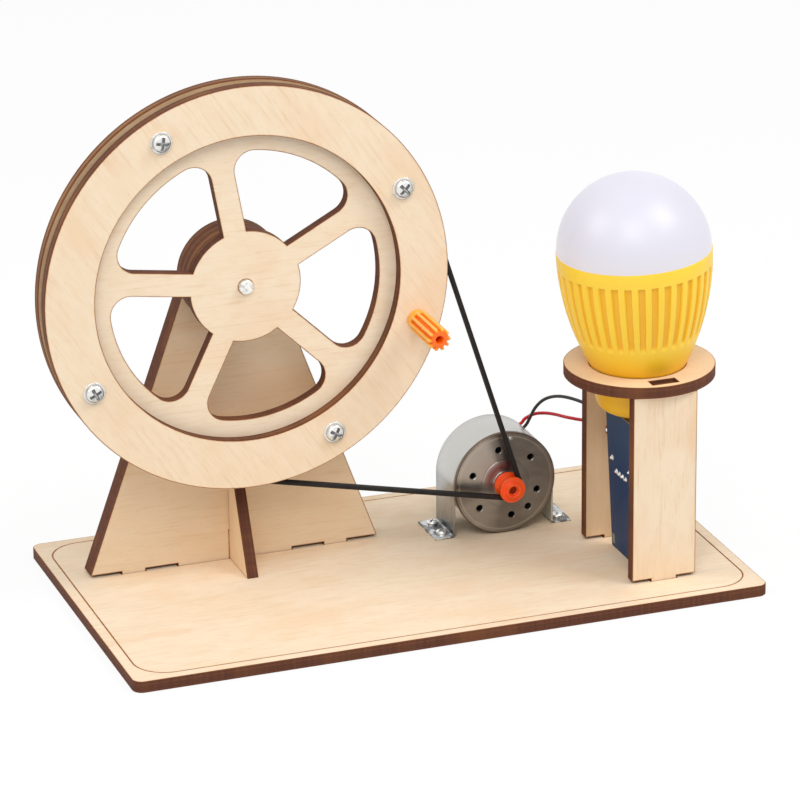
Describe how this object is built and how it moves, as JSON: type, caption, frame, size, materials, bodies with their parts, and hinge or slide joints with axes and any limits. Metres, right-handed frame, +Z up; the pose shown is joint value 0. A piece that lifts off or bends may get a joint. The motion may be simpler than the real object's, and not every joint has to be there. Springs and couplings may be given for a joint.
{
  "type": "hand crank generator",
  "caption": "Plywood kit of a hand crank generator: a spoked wheel with a knob drives a small motor by a rubber belt and lights a plug-in bulb on a lamp stand.",
  "frame": {"origin": "middle of the base board's underside", "axes": "+X to the right along the board's long side, towards the lamp; +Y to the back; +Z up"},
  "size_m": [0.1985, 0.107, 0.1537],
  "materials": {
    "plywood": "raw birch plywood, laser cut with scorched brown edges",
    "steel": "bright sheet steel, satin",
    "zinc": "bright zinc-plated fasteners",
    "orange_plastic": "moulded orange plastic, semi-gloss",
    "pulley_plastic": "moulded red-orange plastic, semi-gloss",
    "rubber": "black rubber, dull",
    "motor_plate": "grey stamped steel, slightly stained",
    "bronze": "sintered bronze",
    "iron": "dull iron",
    "white_plastic": "white plastic",
    "copper": "tinned copper",
    "board_blue": "dark blue circuit board",
    "black_plastic": "black plastic",
    "solder": "bright solder",
    "yellow_plastic": "moulded yellow plastic, satin",
    "frosted_plastic": "frosted white diffuser",
    "red_insulation": "red wire insulation",
    "black_insulation": "black wire insulation"
  },
  "bodies": {
    "stand": {"base_board": "plywood", "stand_front_plate": "plywood", "stand_rear_plate": "plywood", "stand_brace": "plywood", "spacer_front": "plywood", "spacer_middle": "plywood", "spacer_rear": "plywood", "drive_belt": "rubber", "motor_front_plate": "motor_plate", "motor_can": "steel", "motor_bearing": "bronze", "motor_magnets": "iron", "motor_rear_cap": "white_plastic", "motor_terminals": "copper", "motor_strap": "steel", "strap_screws": "zinc", "front_post": "plywood", "rear_post": "plywood", "lamp_ring": "plywood", "circuit_board": "board_blue", "board_parts": "black_plastic", "board_joints": "solder", "usb_socket": "steel", "socket_tongue": "white_plastic", "red_wire": "red_insulation", "black_wire": "black_insulation"},
    "wheel": {"wheel_front_ring": "plywood", "wheel_spoke_disc": "plywood", "wheel_back_ring": "plywood", "ring_screws": "zinc", "ring_nuts": "zinc", "wheel_axle": "steel", "hub_bush": "white_plastic", "axle_collar": "white_plastic"},
    "crank": {"crank_knob": "orange_plastic", "knob_washer": "zinc", "knob_screw": "zinc"},
    "rotor": {"motor_rotor": "iron", "motor_shaft": "steel", "motor_pulley": "pulley_plastic"},
    "bulb": {"bulb_body": "yellow_plastic", "bulb_dome": "frosted_plastic", "led_board": "white_plastic", "led_chips": "white_plastic", "usb_plug": "steel", "plug_insert": "black_plastic"}
  },
  "joints": [
    {"name": "wheel_spin", "type": "hinge", "parent": "stand", "child": "wheel", "pos_m": [-0.0422, 0.0077, 0.0934], "axis": [0, 1, 0], "continuous": true},
    {"name": "knob_spin", "type": "hinge", "parent": "wheel", "child": "crank", "pos_m": [0.00844, 0, 0.07792], "axis": [0, 1, 0], "continuous": true},
    {"name": "motor_spin", "type": "hinge", "parent": "stand", "child": "rotor", "pos_m": [0.039, 0.0077, 0.0194], "axis": [0, 1, 0], "continuous": true},
    {"name": "bulb_pull", "type": "slide", "parent": "stand", "child": "bulb", "axis": [-0.0523, 0, 0.9986], "range_m": [0, 0.03]}
  ],
  "couplings": [
    {"joint": "motor_spin", "follows": "wheel_spin", "ratio": 16.896}
  ]
}
